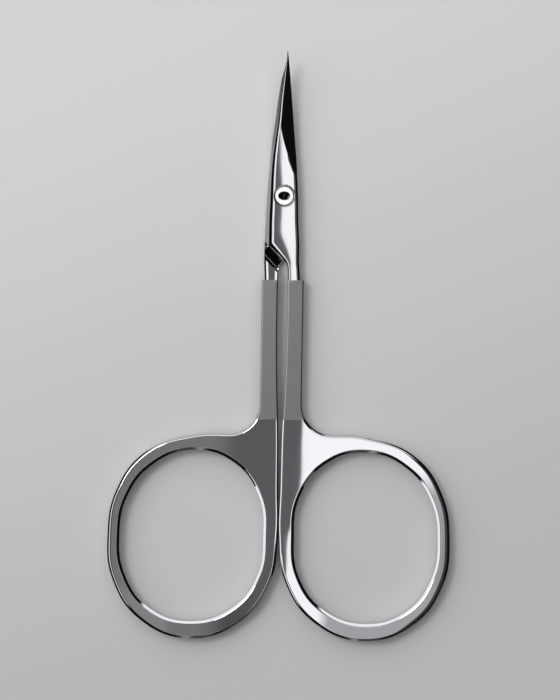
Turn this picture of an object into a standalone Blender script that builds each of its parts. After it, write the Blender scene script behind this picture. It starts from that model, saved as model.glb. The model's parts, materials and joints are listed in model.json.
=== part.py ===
"""Cuticle scissors with curved blades, closed and lying flat with their tips up.

Lengths are in metres. X runs across the tool, Y from the finger rings to the tips, Z up.
Each half is drawn as the upper one, about the pivot and with a straight blade. The lower half
is the same design turned over. Both blades are then bent upward by their distance from the
pivot alone, so the two mating faces stay matched at every opening angle.
"""
from math import cos, hypot, pi, radians, sin, sqrt

import bmesh
import bpy
from mathutils import Matrix, Vector

mm = 0.001

# Reach from the pivot
blade_reach = 22.4 * mm
handle_reach = 69.6 * mm

# Shank with its satin band
handle_thickness = 3.0 * mm
handle_rounding = 0.25 * mm
band_start = 13.2 * mm
shank_outer = 3.27 * mm
shank_gap = 1.5 * mm
crotch_radius = 4.9 * mm
crotch_rise = 0.3 * mm

# Finger ring
finger_hole_width = 22.55 * mm
finger_hole_length = 26.9 * mm
limb_width = 2.67 * mm
ring_gap = 0.3 * mm

# Polished front part: the joint's lap and the blade
band_proud_face = 0.1 * mm
band_proud_outside = 0.47 * mm
band_proud_inside = 0.08 * mm
front_overlap = 1.0 * mm
lap_width = 4.3 * mm
lap_gap = 0.2 * mm
heel_reach = 7.6 * mm
heel_depth = 2.3 * mm
heel_fillet = 0.9 * mm
shoulder_clearance = 0.35 * mm
shoulder_radius = 1.95 * mm
shank_chamfer = 0.35 * mm

# Blade
edge_bevel = 0.55 * mm
edge_land = 0.25 * mm
tip_thickness = 0.35 * mm
ground_start = 3.6 * mm
ground_full = 11.1 * mm
bend_start = 4.5 * mm
tip_rise = 3.6 * mm
blade_step = 1.1 * mm

# Pivot
pivot_head_radius = 1.58 * mm
pivot_head_thickness = 0.62 * mm
barrel_radius = 1.1 * mm
barrel_bore_radius = 0.65 * mm
pivot_clearance = 0.07 * mm
seat_clearance = 0.06 * mm
slot_width = 0.55 * mm
slot_depth = 0.3 * mm
head_chamfer = 0.1 * mm

# How far a cutter reaches past what it cuts
overrun = 1.0 * mm

# Segments of curved outlines and of turned pieces
outline_steps = 6
rounding_steps = 1
turned_steps = 48
shoulder_steps = 6

# Finger ring by its angle from the outer side: the hole's edge as shares of half its width and
# of half its length, and the limb there as a share of its full width
finger_ring_shares = [
    (0, 1.0, 0.0, 0.70),
    (30, 0.905, 0.438, 0.74),
    (60, 0.563, 0.817, 0.845),
    (90, 0.0, 1.0, 0.85),
    (120, -0.588, 0.855, 0.85),
    (150, -0.938, 0.454, 0.85),
    (180, -1.0, 0.0, 0.845),
    (210, -0.930, -0.449, 0.86),
    (240, -0.579, -0.839, 0.93),
    (270, 0.0, -1.0, 1.0),
    (300, 0.583, -0.846, 0.87),
    (330, 0.927, -0.448, 0.78),
]
ring_inner_share = finger_ring_shares[6][3]

# Inner side of the shank: share of the way from the band's front end to the ring's middle,
# and share of the gap there
shank_inner_shares = [(0.2, 1.02), (0.4, 0.76), (0.6, 0.27), (0.8, 0.12)]

# Blades in plan: share of the blade's reach, then the spine and the cutting edge as shares of
# the lap's width
upper_blade_shares = [
    (-0.170, -0.530, 0.516),
    (-0.030, -0.505, 0.497),
    (0.110, -0.485, 0.466),
    (0.250, -0.442, 0.426),
    (0.390, -0.352, 0.358),
    (0.530, -0.248, 0.294),
    (0.670, -0.176, 0.230),
    (0.810, -0.079, 0.162),
    (0.880, -0.030, 0.126),
    (0.950, 0.014, 0.086),
    (1.000, 0.030, 0.050),
]
lower_blade_shares = [
    (-0.170, -0.453, 0.651),
    (-0.030, -0.442, 0.626),
    (0.110, -0.419, 0.583),
    (0.250, -0.395, 0.522),
    (0.390, -0.321, 0.462),
    (0.530, -0.260, 0.364),
    (0.670, -0.191, 0.274),
    (0.810, -0.125, 0.165),
    (0.880, -0.098, 0.065),
    (0.950, -0.074, -0.018),
    (0.990, -0.050, -0.030),
]

# Lap behind the blade: the heel's corner and the shank's outer face, as shares of the lap's width
upper_heel_shares = (-0.535, 0.558)
lower_heel_shares = (-0.488, 0.690)

# Bevels along the blade, as shares of its local width and of the lap's thickness
spine_lean_share = 0.115
spine_chamfer_share = 0.085
spine_wall_share = 0.56
spine_shoulder_share = 0.90
widest_bevel_share = 0.28
ground_edge_share = 0.38

# Fall of the cutting side's bevel, as a share of its width
edge_fall_share = 0.85

# Worked out from the sizes above
overall_length = blade_reach + handle_reach
pivot_place = Vector((0, overall_length / 2 - blade_reach, 0))
front_bottom = band_proud_face
front_top = handle_thickness - band_proud_face
middle_plane = handle_thickness / 2
lap_face = middle_plane + lap_gap / 2
lap_thickness = front_top - lap_face
hole_half_width = finger_hole_width / 2
hole_half_length = finger_hole_length / 2
ring_centre = Vector((ring_gap / 2 + limb_width * ring_inner_share + hole_half_width,
                      limb_width + hole_half_length - handle_reach))
bend_run = blade_reach - bend_start
bend_radius = (bend_run ** 2 + tip_rise ** 2) / (2 * tip_rise)


# Scene and materials
def clear_scene():
    for item in list(bpy.data.objects):
        bpy.data.objects.remove(item)


def make_collection(name):
    collection = bpy.data.collections.new(name)
    bpy.context.scene.collection.children.link(collection)
    return collection


def make_material(name, colour, roughness):
    material = bpy.data.materials.new(name)
    material.use_nodes = True
    shader = material.node_tree.nodes["Principled BSDF"]
    shader.inputs["Base Color"].default_value = (*colour, 1)
    shader.inputs["Metallic"].default_value = 1
    shader.inputs["Roughness"].default_value = roughness
    return material


def add_object(name, mesh, collection):
    item = bpy.data.objects.new(name, mesh)
    collection.objects.link(item)
    return item


def add_cutter(name, mesh):
    cutter = add_object(name, mesh, cutters)
    cutter.display_type = "WIRE"
    cutter.hide_render = True
    return cutter


# Modelling helpers
def baked_mesh(item):
    """The object's mesh as its modifiers leave it."""
    bpy.context.view_layer.update()
    return bpy.data.meshes.new_from_object(item.evaluated_get(bpy.context.evaluated_depsgraph_get()))


def combine(item, other, operation):
    """Cuts the other object from an item, or joins it on, and keeps the result as its mesh."""
    boolean = item.modifiers.new(other.name, "BOOLEAN")
    boolean.object = other
    boolean.operation = operation
    mesh = baked_mesh(item)
    item.modifiers.remove(boolean)
    item.data = mesh


def outline_solid(name, outlines, low, high, rounding):
    """A flat solid between two heights, from closed outlines of (x, y, heading) points.

    A heading is the direction of travel in degrees, None where the outline runs smoothly
    through its neighbours, or "corner".
    """
    curve = bpy.data.curves.new(name, "CURVE")
    curve.dimensions = "2D"
    curve.fill_mode = "BOTH"
    curve.resolution_u = outline_steps
    curve.extrude = (high - low) / 2 - rounding
    curve.bevel_depth = rounding
    curve.bevel_resolution = rounding_steps
    curve.offset = -rounding
    for outline in outlines:
        add_spline(curve, outline)
    drawn = add_object(name + "_outline", curve, cutters)
    drawn.location.z = (high + low) / 2
    mesh = baked_mesh(drawn)
    mesh.transform(drawn.matrix_world)
    bpy.data.objects.remove(drawn)
    weld(mesh)
    return mesh


def add_spline(curve, outline):
    spline = curve.splines.new("BEZIER")
    spline.bezier_points.add(len(outline) - 1)
    spline.use_cyclic_u = True
    for index, (x, y, heading) in enumerate(outline):
        point = spline.bezier_points[index]
        point.co = (x, y, 0)
        if heading == "corner":
            point.handle_left_type = point.handle_right_type = "VECTOR"
        elif heading is None:
            point.handle_left_type = point.handle_right_type = "AUTO"
        else:
            aim_handles(point, outline[index - 1], outline[(index + 1) % len(outline)], heading)


def aim_handles(point, before, after, heading):
    """Points both handles along a heading, each a bit over a third of the way to its neighbour."""
    reach_share = 0.36
    along = Vector((cos(radians(heading)), sin(radians(heading)), 0))
    point.handle_left_type = point.handle_right_type = "FREE"
    reach_before = hypot(point.co.x - before[0], point.co.y - before[1])
    reach_after = hypot(point.co.x - after[0], point.co.y - after[1])
    point.handle_left = point.co - along * reach_before * reach_share
    point.handle_right = point.co + along * reach_after * reach_share


def weld(mesh):
    shape = bmesh.new()
    shape.from_mesh(mesh)
    bmesh.ops.remove_doubles(shape, verts=shape.verts, dist=overrun / 1000)
    bmesh.ops.recalc_face_normals(shape, faces=shape.faces)
    shape.to_mesh(mesh)
    shape.free()


def loft_mesh(name, sections):
    """A closed solid through sections that have equally many points each."""
    shape = bmesh.new()
    rings = [[shape.verts.new(point) for point in section] for section in sections]
    for ring, following in zip(rings, rings[1:]):
        for index in range(len(ring)):
            after = (index + 1) % len(ring)
            shape.faces.new((ring[index], ring[after], following[after], following[index]))
    shape.faces.new(rings[0])
    shape.faces.new(rings[-1])
    bmesh.ops.recalc_face_normals(shape, faces=shape.faces)
    mesh = bpy.data.meshes.new(name)
    shape.to_mesh(mesh)
    shape.free()
    return mesh


def turned_object(name, profile, collection):
    """A turned solid from its (radius, height) profile, which runs from the top to the bottom."""
    mesh = bpy.data.meshes.new(name)
    mesh.from_pydata([(radius, 0, height) for radius, height in profile],
                     [(index, index + 1) for index in range(len(profile) - 1)], [])
    item = add_object(name, mesh, collection)
    screw = item.modifiers.new("Turn", "SCREW")
    screw.steps = turned_steps
    screw.render_steps = turned_steps
    screw.use_merge_vertices = True
    screw.merge_threshold = overrun / 1000
    item.data = baked_mesh(item)
    item.modifiers.remove(screw)
    weld(item.data)
    return item


# Finger ring and shank
def ring_points(angle, across_share, along_share, limb_share):
    """A point of the finger hole's edge, and the ring's outside straight behind it."""
    edge = ring_centre + Vector((across_share * hole_half_width, along_share * hole_half_length))
    away = Vector((cos(radians(angle)), sin(radians(angle))))
    return edge, edge + away * limb_width * limb_share


def handle_outlines():
    hole = []
    for row in finger_ring_shares:
        edge = ring_points(*row)[0]
        hole.append((edge.x, edge.y, None))
    half_gap = shank_gap / 2
    spread = (shank_gap - ring_gap) / 2
    shank_run = ring_centre.y + band_start
    outline = [(half_gap, -band_start, "corner")]
    for along_share, gap_share in shank_inner_shares:
        outline.append((ring_gap / 2 + spread * gap_share, shank_run * along_share - band_start, None))
    for row in finger_ring_shares[6:] + finger_ring_shares[:4]:
        outside = ring_points(*row)[1]
        outline.append((outside.x, outside.y, None))
    crotch = Vector((shank_outer, outline[-1][1] + crotch_rise)) + Vector((1, 1)) * crotch_radius
    diagonal = crotch_radius * sin(pi / 4)
    outline += [
        (crotch.x, crotch.y - crotch_radius, 180),
        (crotch.x - diagonal, crotch.y - diagonal, 135),
        (crotch.x - crotch_radius, crotch.y, 90),
        (shank_outer, -band_start, "corner"),
    ]
    return outline, hole


# Lap and blade
def smooth_rows(rows, step):
    """Rows of numbers read at an even step of the first one, on a smooth curve through all."""
    count = round((rows[-1][0] - rows[0][0]) / step)
    read = []
    for number in range(count + 1):
        place = rows[0][0] + (rows[-1][0] - rows[0][0]) * number / count
        index = max(1, min(len(rows) - 1, sum(row[0] < place for row in rows)))
        before, start, end, after = (Vector(rows[max(0, min(len(rows) - 1, index + shift))])
                                     for shift in (-2, -1, 0, 1))
        share = (place - start[0]) / (end[0] - start[0])
        rise_start = (end - before) / (end[0] - before[0])
        rise_end = (after - start) / (after[0] - start[0])
        span = end[0] - start[0]
        point = (start * (1 + 2 * share) * (1 - share) ** 2 + end * share ** 2 * (3 - 2 * share)
                 + rise_start * span * share * (1 - share) ** 2
                 - rise_end * span * share ** 2 * (1 - share))
        read.append((place, *point[1:]))
    return read


def blade_rows(shares):
    return [(along * blade_reach, spine * lap_width, edge * lap_width)
            for along, spine, edge in shares]


def front_rows(blade_shares, heel_shares):
    """The plan of lap and blade: place along Y, spine side and cutting side."""
    heel_x, outer_x = (share * lap_width for share in heel_shares)
    inner_x = shank_gap / 2 + band_proud_inside
    neck_outer = shank_outer - band_proud_outside
    root = heel_reach + heel_depth
    root_x = inner_x - heel_fillet / 2
    neck = neck_outer - outer_x
    rows = [
        (-band_start - front_overlap, inner_x, neck_outer),
        (-root - heel_fillet, inner_x - heel_fillet / 8, outer_x + neck / 4),
        (-root - heel_fillet / 2, inner_x - heel_fillet / 4, outer_x + neck / 8),
        (-root, root_x, outer_x),
        (-heel_reach, heel_x, outer_x),
    ]
    return rows + smooth_rows(blade_rows(blade_shares), blade_step)


def ground_heights(y):
    """Heights of the spine's and of the cutting edge's side of the ground face."""
    if y < ground_start:
        return front_top, front_top
    edge_low = front_top - ground_edge_share * lap_thickness
    if y < ground_full:
        share = (y - ground_start) / (ground_full - ground_start)
        return front_top, front_top + (edge_low - front_top) * share
    share = (y - ground_full) / (blade_reach - ground_full)
    tip_top = lap_face + tip_thickness
    return front_top + (tip_top - front_top) * share, edge_low + (tip_top - edge_low) * share


def ground_boundary(y, low, high):
    """Where the ground face starts across the blade: it sweeps from the edge to the spine."""
    if y < ground_start:
        return high
    share = max(0, ground_full - y) / (ground_full - ground_start)
    return low + (high - low) * share ** 2


def front_section(y, left, right):
    """Section of lap and blade, from the spine side's underside over the top."""
    width = right - left
    spine_top, edge_top = ground_heights(y)
    spine_height = spine_top - lap_face
    bevel = min(edge_bevel, width * widest_bevel_share)
    flat_left = left + width * (spine_lean_share + spine_chamfer_share)
    flat_right = right - bevel
    chamfer = min(shank_chamfer, width * widest_bevel_share)
    edge_height = edge_top - lap_face
    land = max(edge_height - bevel * edge_fall_share, min(edge_land, edge_height / 2))
    return [
        (left + chamfer, y, front_bottom),
        (left, y, front_bottom + chamfer),
        (left, y, lap_face + spine_height * spine_wall_share),
        (left + width * spine_lean_share, y, lap_face + spine_height * spine_shoulder_share),
        (flat_left, y, spine_top),
        (ground_boundary(y, flat_left, flat_right), y, spine_top),
        (flat_right, y, edge_top),
        (right, y, lap_face + land),
        (right, y, front_bottom + chamfer),
        (right - chamfer, y, front_bottom),
    ]


def lap_cutter():
    """Takes the underside off the lap and blade, up to the curved ramp of the shoulder.

    The ramp runs parallel to the other half's heel, clear of its wall.
    """
    heel_x = -lower_heel_shares[0] * lap_width
    root_x = heel_fillet / 2 - shank_gap / 2 - band_proud_inside
    heel_line = Vector((root_x - heel_x, -heel_depth)).normalized()
    backward = Vector((-heel_line.y, heel_line.x))
    reach = overall_length / 2
    profile = [(-reach, front_bottom - overrun), (-reach, lap_face)]
    arc_bottom = lap_face - shoulder_radius
    for number in range(shoulder_steps + 1):
        angle = pi / 2 * number / shoulder_steps
        profile.append((shoulder_clearance + shoulder_radius * sin(angle),
                        arc_bottom + shoulder_radius * cos(angle)))
    profile.append((shoulder_clearance + shoulder_radius, front_bottom - overrun))
    ends = []
    for side in (-1, 1):
        start = Vector((heel_x, -heel_reach)) + heel_line * side * reach
        ends.append([(start.x + backward.x * out, start.y + backward.y * out, height)
                     for out, height in profile])
    return add_cutter("lap_cutter", loft_mesh("lap_cutter", ends))


def pivot_cutter():
    """Bore for the barrel and the counterbore for a flush head."""
    head = pivot_head_radius + pivot_clearance
    bore = barrel_radius + pivot_clearance
    seat = front_top - pivot_head_thickness - seat_clearance
    profile = [(0, front_top + overrun), (head, front_top + overrun), (head, seat),
               (bore, seat), (bore, front_bottom - overrun), (0, front_bottom - overrun)]
    turned = turned_object("pivot_cutter", profile, cutters)
    turned.display_type = "WIRE"
    turned.hide_render = True
    return turned


# Turning over and bending
def turn_over(mesh):
    middle = Vector((0, 0, middle_plane))
    turn = Matrix.Translation(middle) @ Matrix.Rotation(pi, 4, "Y") @ Matrix.Translation(-middle)
    mesh.transform(turn)


def bend_height(distance):
    """How far the bent blade lifts at a distance from the pivot."""
    run = max(0, distance - bend_start)
    return bend_radius - sqrt(bend_radius ** 2 - run ** 2)


def bend_blade(mesh, places):
    """Lifts the blade, after a cut across its flat faces at each place along it."""
    shape = bmesh.new()
    shape.from_mesh(mesh)
    for place in places:
        bmesh.ops.bisect_plane(shape, geom=shape.verts[:] + shape.edges[:] + shape.faces[:],
                               dist=overrun / 10000, plane_co=(0, place, 0), plane_no=(0, 1, 0))
    bmesh.ops.triangulate(shape, faces=shape.faces)
    for vertex in shape.verts:
        if vertex.co.y > 0:
            vertex.co.z += bend_height(hypot(vertex.co.x, vertex.co.y))
    shape.to_mesh(mesh)
    shape.free()


def finish_piece(item, material, smooth_angle=30):
    item.data.materials.clear()
    item.data.materials.append(material)
    item.data.shade_smooth()
    item.data.set_sharp_from_angle(angle=radians(smooth_angle))
    item.location = pivot_place


# Pieces
def build_half(name, blade_shares, heel_shares, turned=False):
    handle_mesh = outline_solid(name, handle_outlines(), 0, handle_thickness, handle_rounding)
    half = add_object(name, handle_mesh, scissors)
    rows = front_rows(blade_shares, heel_shares)
    sections = [front_section(*row) for row in rows]
    front = add_cutter(name + "_front", loft_mesh(name + "_front", sections))
    combine(front, lap_shape, "DIFFERENCE")
    combine(front, pivot_shape, "DIFFERENCE")
    combine(half, front, "UNION")
    if turned:
        turn_over(half.data)
    bend_blade(half.data, [row[0] for row in rows[1:-1] if row[0] > bend_start - blade_step])
    finish_piece(half, polished_steel)


def build_pivot_nut():
    """Plain flush head in the upper half and a barrel that both laps turn on."""
    head_bottom = front_top - pivot_head_thickness
    barrel_end = front_bottom + pivot_head_thickness + seat_clearance
    bore_end = head_bottom + seat_clearance
    profile = [
        (0, front_top),
        (pivot_head_radius - head_chamfer, front_top),
        (pivot_head_radius, front_top - head_chamfer),
        (pivot_head_radius, head_bottom),
        (barrel_radius, head_bottom),
        (barrel_radius, barrel_end),
        (barrel_bore_radius, barrel_end),
        (barrel_bore_radius, bore_end),
        (0, bore_end),
    ]
    nut = turned_object("pivot_nut", profile, scissors)
    finish_piece(nut, bright_steel)


def build_pivot_screw():
    """Slotted head at the back of the lower half, with its thread inside the nut's barrel."""
    head_top = front_bottom + pivot_head_thickness
    thread_radius = barrel_bore_radius - pivot_clearance
    thread_end = front_top - pivot_head_thickness - seat_clearance
    profile = [
        (0, thread_end),
        (thread_radius, thread_end),
        (thread_radius, head_top),
        (pivot_head_radius, head_top),
        (pivot_head_radius, front_bottom + head_chamfer),
        (pivot_head_radius - head_chamfer, front_bottom),
        (0, front_bottom),
    ]
    pivot_screw = turned_object("pivot_screw", profile, scissors)
    slot_length = 2 * (pivot_head_radius + overrun)
    shape = bmesh.new()
    bmesh.ops.create_cube(shape, size=1)
    slot = bpy.data.meshes.new("slot_cutter")
    shape.to_mesh(slot)
    shape.free()
    slot.transform(Matrix.Diagonal((slot_length, slot_width, 2 * slot_depth, 1)))
    slot.transform(Matrix.Translation((0, 0, front_bottom)))
    combine(pivot_screw, add_cutter("slot_cutter", slot), "DIFFERENCE")
    finish_piece(pivot_screw, bright_steel)


clear_scene()
scissors = make_collection("cuticle_scissors")
cutters = make_collection("cutters")
polished_steel = make_material("polished_steel", (0.62, 0.62, 0.63), 0.1)
bright_steel = make_material("bright_steel", (0.7, 0.7, 0.7), 0.15)
lap_shape = lap_cutter()
pivot_shape = pivot_cutter()
build_half("upper_half", upper_blade_shares, upper_heel_shares)
build_half("lower_half", lower_blade_shares, lower_heel_shares, turned=True)
build_pivot_nut()
build_pivot_screw()
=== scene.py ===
import json
from math import cos, hypot, pi, radians, sin, sqrt

import bmesh
import bpy
from mathutils import Matrix, Vector, kdtree


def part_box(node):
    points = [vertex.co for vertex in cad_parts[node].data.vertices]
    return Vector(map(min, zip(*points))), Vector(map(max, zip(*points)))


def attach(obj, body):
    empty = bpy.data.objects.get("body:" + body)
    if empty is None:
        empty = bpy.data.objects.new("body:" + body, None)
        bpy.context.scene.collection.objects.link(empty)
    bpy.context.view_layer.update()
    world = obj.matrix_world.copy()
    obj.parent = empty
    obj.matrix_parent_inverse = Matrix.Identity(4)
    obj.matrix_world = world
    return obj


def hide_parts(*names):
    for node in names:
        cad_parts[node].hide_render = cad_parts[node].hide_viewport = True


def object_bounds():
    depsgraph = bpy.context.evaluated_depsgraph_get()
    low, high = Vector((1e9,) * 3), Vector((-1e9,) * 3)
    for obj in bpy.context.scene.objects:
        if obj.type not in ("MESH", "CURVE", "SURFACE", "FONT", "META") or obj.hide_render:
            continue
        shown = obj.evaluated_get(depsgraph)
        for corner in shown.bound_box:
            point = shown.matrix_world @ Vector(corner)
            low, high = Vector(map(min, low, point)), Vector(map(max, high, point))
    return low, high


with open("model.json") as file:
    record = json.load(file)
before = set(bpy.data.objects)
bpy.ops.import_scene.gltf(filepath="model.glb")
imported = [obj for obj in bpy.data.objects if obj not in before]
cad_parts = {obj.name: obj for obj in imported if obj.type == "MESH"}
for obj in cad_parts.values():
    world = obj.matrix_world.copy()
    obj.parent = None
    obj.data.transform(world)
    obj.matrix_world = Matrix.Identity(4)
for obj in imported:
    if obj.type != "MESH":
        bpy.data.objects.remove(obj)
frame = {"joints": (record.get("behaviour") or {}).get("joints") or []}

# The looks of a pair of curved cuticle scissors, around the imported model. Lengths are in metres.
# X runs across the tool, Y from the finger rings to the tips and Z up. Each half is drawn as the
# upper one, about the pivot and with a straight blade. The lower half is turned over, and both
# blades are then bent upward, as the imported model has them.

bl_info = {
    "name": "Cuticle Scissors",
    "version": (1, 0, 0),
    "blender": (4, 5, 0),
    "location": "View3D > Sidebar > Scissors",
    "description": "Adds polished cuticle scissors with satin shanks on a pale table",
    "category": "Add Mesh",
}

mm = 0.001

# Points nearer to each other than this are one point
near = 0.001 * mm

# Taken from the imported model
box_low, box_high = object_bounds()
overall_length = box_high.y - box_low.y
pivot_joint = frame["joints"][0]
pivot_place = Vector((pivot_joint["pos_m"][0], pivot_joint["pos_m"][1], 0))
middle_plane = pivot_joint["pos_m"][2]
upper_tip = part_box("upper_half")[1].y - pivot_place.y

# Finger ring by its angle from the outer side: the hole's edge as shares of half its width and
# of half its length, and the limb there as a share of its full width
finger_ring_shares = [
    (0, 1.0, 0.0, 0.70),
    (30, 0.905, 0.438, 0.74),
    (60, 0.563, 0.817, 0.845),
    (90, 0.0, 1.0, 0.85),
    (120, -0.588, 0.855, 0.85),
    (150, -0.938, 0.454, 0.85),
    (180, -1.0, 0.0, 0.845),
    (210, -0.930, -0.449, 0.86),
    (240, -0.579, -0.839, 0.93),
    (270, 0.0, -1.0, 1.0),
    (300, 0.583, -0.846, 0.87),
    (330, 0.927, -0.448, 0.78),
]
ring_inner_share = finger_ring_shares[6][3]

# Inner side of the shank: share of the way from the band's front end to the ring's middle, and
# share of the gap there
shank_inner_shares = [(0.2, 1.02), (0.4, 0.76), (0.6, 0.27), (0.8, 0.12)]

# Blades in plan: share of the blade's reach, then the spine and the cutting edge as shares of
# the lap's width
upper_blade_shares = [
    (-0.170, -0.530, 0.531),
    (-0.030, -0.505, 0.512),
    (0.110, -0.485, 0.471),
    (0.250, -0.442, 0.426),
    (0.390, -0.352, 0.358),
    (0.530, -0.248, 0.294),
    (0.670, -0.176, 0.230),
    (0.810, -0.079, 0.162),
    (0.880, -0.030, 0.126),
    (0.950, 0.014, 0.086),
    (1.000, 0.030, 0.050),
]
lower_blade_shares = [
    (-0.170, -0.453, 0.651),
    (-0.030, -0.442, 0.626),
    (0.110, -0.419, 0.583),
    (0.250, -0.395, 0.522),
    (0.390, -0.321, 0.462),
    (0.530, -0.260, 0.364),
    (0.670, -0.191, 0.274),
    (0.810, -0.125, 0.165),
    (0.880, -0.098, 0.065),
    (0.950, -0.074, -0.018),
    (0.990, -0.050, -0.030),
]

# Lap behind the blade: the heel's corner and the shank's outer face, as shares of the lap's width
upper_heel_shares = (-0.535, 0.583)
lower_heel_shares = (-0.488, 0.690)

# Back edges of lap and blade on the spine's and on the cutting side: shares of the under chamfer
# in from the side and up from the back
spine_under_shares = [(1.3, 0.0), (0.45, 0.015), (0.0, 0.4)]
cutting_under_shares = [(0.0, 1.09), (0.85, 0.33), (1.75, 0.0)]

# Rims of the pivot's heads: shares of the rim's width in from the side and back from the face
nut_rim_shares = [(1.0, 0.0), (0.06, 0.85), (0.0, 1.05)]
screw_rim_shares = [(0.0, 1.05), (0.08, 0.92), (0.92, 0.08), (1.0, 0.0)]

# Edge of the handle: how far in from the outline its lines of points run
handle_edge_lines = [0.05 * mm, 0.10 * mm, 0.16 * mm, 0.22 * mm, 0.29 * mm, 0.36 * mm,
                     0.42 * mm, 0.48 * mm, 0.57 * mm, 0.66 * mm, 0.75 * mm, 0.77 * mm]

# Edge of the handle by kind: slope of its chamfer, width of the chamfer without and with its
# rounded top, then slope and width of the soft fall inside it
handle_edges = {
    "hole": (0.60, 0.29 * mm, 0.45 * mm, 0.0, 0.48 * mm),
    "outer": (0.78, 0.31 * mm, 0.38 * mm, 0.09, 0.75 * mm),
    "end": (0.78, 0.27 * mm, 0.38 * mm, 0.0, 0.75 * mm),
    "inside": (0.60, 0.10 * mm, 0.20 * mm, 0.022, 0.46 * mm),
    "band": (0.80, 0.06 * mm, 0.20 * mm, 0.0, 0.48 * mm),
}

# Length of shank in front of the band, cut off once the edge is shaped
spare_front = 1.2 * mm

# Sideways slope that the hand polish gives the faces: at the tips, then what it gains between two
# places on the way back, and the places between which half of it comes in again along the rings
polish_lean = 0.00044
polish_lean_steps = [
    (0.00037, 30.0 * mm, 25.5 * mm),
    (0.00173, 18.6 * mm, 12.8 * mm),
    (0.00266, 8.0 * mm, -8.0 * mm),
]
polish_fade = (-33.0 * mm, -19.0 * mm)

# The white card's left border and near edge, and how that edge curves away at the left
card_left_border = -0.0019
card_near_edge = -0.045
card_edge_curve = 0.0006
card_curve_limit = 0.0015

# The room as the polished steel sees it, by its direction: across and along the tool, lean away
# from straight up, slant towards the near right, and how far past the white card's left border
# and its near edge. Each patch of light has a level and soft limits, from none to full light.
past_border = ("past_border", -0.0003, 0.0003)
before_border = ("past_border", 0.0003, -0.0003)
studio_patches = {
    "white card": (1.4, past_border, ("past_near_edge", -0.022, 0.022), ("along", 0.11, 0.07),
                   ("across", 0.068, 0.050)),
    "strip of the card nearer by": (1.4, past_border, ("across", 0.0008, 0.0002),
                                    ("along", -0.21, -0.18), ("along", -0.02, -0.04)),
    "paler strip nearer still": (0.54, ("across", 0.002, 0.012), ("along", -0.55, -0.40),
                                 ("across", 0.068, 0.046)),
    "ceiling on the right": (0.07, past_border, ("across", 0.30, 0.15)),
    "grey card on the right": (0.17, ("across", 0.175, 0.195), ("across", 0.26, 0.24),
                               ("along", -0.10, -0.06), ("along", 0.10, 0.06)),
    "ceiling on the left": (0.10, before_border, ("across", -0.20, -0.09)),
    "near ceiling on the left": (0.15, before_border, ("across", -0.12, -0.05),
                                 ("along", -0.12, -0.08)),
    "pale card on the left": (0.25, ("across", -0.012, -0.035), ("across", -0.14, -0.09),
                              ("along", 0.02, -0.02)),
    "its near part": (0.33, ("across", -0.035, -0.045), ("across", -0.14, -0.08),
                      ("along", -0.065, -0.09)),
    "window wall behind and left": (1.3, ("lean", 0.38, 0.50), ("lean", 0.945, 0.915),
                                    ("slant", 0.0, -0.12), ("along", -0.72, -0.58)),
    "near wall": (0.62, ("lean", 0.50, 0.60), ("lean", 0.988, 0.978), ("across", 0.35, 0.15),
                  ("along", -0.35, -0.15)),
    "low wall at the near right": (0.16, ("lean", 0.935, 0.955), ("lean", 0.988, 0.978),
                                   ("across", 0.30, 0.42), ("along", -0.30, -0.42)),
}
studio_dark = 0.006
studio_colour = (0.97, 0.985, 1.0, 1)


# Sizes and colours that can be set
def length(label, description, default):
    return bpy.props.FloatProperty(name=label, description=description, default=default,
                                   unit="LENGTH", subtype="DISTANCE", precision=5)


def colour(label, description, default):
    return bpy.props.FloatVectorProperty(name=label, description=description, default=default,
                                         size=3, min=0, max=1, subtype="COLOR")


def factor(label, description, default):
    return bpy.props.FloatProperty(name=label, description=description, default=default,
                                   min=0, max=1, subtype="FACTOR")


class ScissorHandleSizes(bpy.types.PropertyGroup):
    thickness: length("Thickness", "Thickness of the handles", 2 * middle_plane)
    band_start: length("Band start", "From the pivot back to the satin band", 13.2 * mm)
    band_end: length("Band end", "From the pivot back to the end of the satin band", 35.05 * mm)
    shank_outer: length("Shank side", "From the middle to a shank's outer side", 3.27 * mm)
    shank_gap: length("Shank gap", "Gap between the shanks at their front", 1.5 * mm)
    crotch_radius: length("Crotch radius", "Curve between shank and ring", 4.9 * mm)
    crotch_rise: length("Crotch rise", "Height of the curve above the ring's side", 0.3 * mm)
    hole_width: length("Hole width", "Width of a finger hole", 22.55 * mm)
    hole_length: length("Hole length", "Length of a finger hole", 26.9 * mm)
    limb_width: length("Limb width", "Widest limb of a finger ring", 2.67 * mm)
    ring_gap: length("Ring gap", "Gap between the two rings", 0.3 * mm)


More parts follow.
